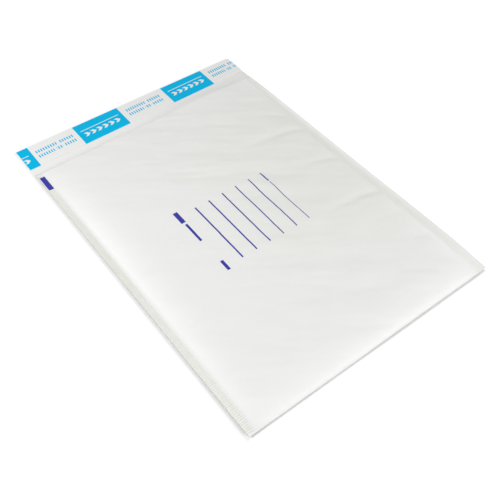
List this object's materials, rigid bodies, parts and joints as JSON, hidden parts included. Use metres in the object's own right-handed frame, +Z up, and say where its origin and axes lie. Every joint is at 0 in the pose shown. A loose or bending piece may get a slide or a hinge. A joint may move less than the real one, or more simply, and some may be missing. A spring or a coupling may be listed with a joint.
{
  "type": "padded envelope",
  "caption": "Flat padded postal envelope of crimp-sealed white paper with a bubble film liner and an open flap whose glue is covered by a printed peel strip.",
  "frame": {"origin": "on the table under the middle of the envelope's outline, flap included", "axes": "+Y along the envelope from the bottom fold to the flap's end, +X across it to the right of the address side, +Z up from the table, out of the address side"},
  "size_m": [0.256, 0.3726, 0.0078],
  "materials": {
    "paper": "matte",
    "bubble_film": "semi-gloss",
    "glue": "tacky",
    "strip": "satin"
  },
  "bodies": {
    "root": {"paper_envelope": "paper", "bubble_liner": "bubble_film", "adhesive_strip": "glue", "release_tape": "strip"}
  },
  "joints": []
}
